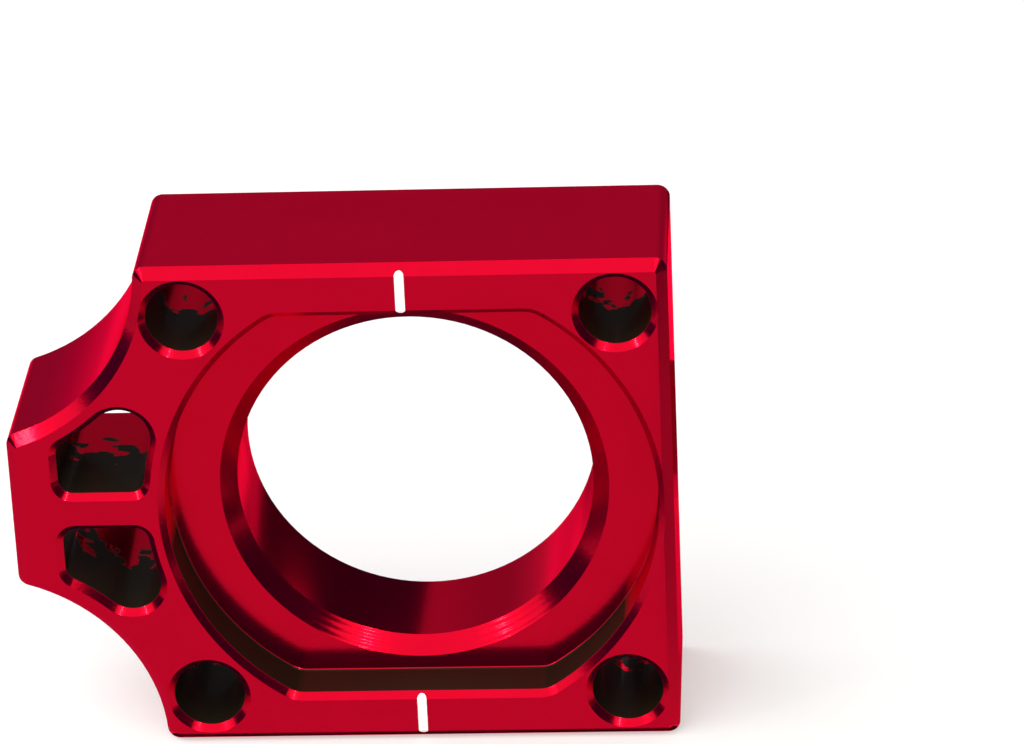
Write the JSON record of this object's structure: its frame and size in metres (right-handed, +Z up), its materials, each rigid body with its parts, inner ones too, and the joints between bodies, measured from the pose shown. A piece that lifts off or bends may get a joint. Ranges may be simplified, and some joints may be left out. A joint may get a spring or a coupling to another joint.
{
  "type": "motorcycle chain adjuster axle block",
  "caption": "Red anodised axle block for a motorcycle swingarm, with a bored and recessed face for the rear axle, a scalloped nose with lightening pockets and white index marks.",
  "frame": {"origin": "on the bore's axis, half way through the block's thickness, inside the bore's wall", "axes": "-Y out of the outer face with the recess, along the bore; -X towards the nose; +Z up, at right angles to the two sliding faces"},
  "size_m": [0.0462, 0.0132, 0.037],
  "materials": {
    "red_anodised_aluminium": "bright red anodised, fine milled"
  },
  "bodies": {
    "root": {"axle_block": "red_anodised_aluminium"}
  },
  "joints": []
}
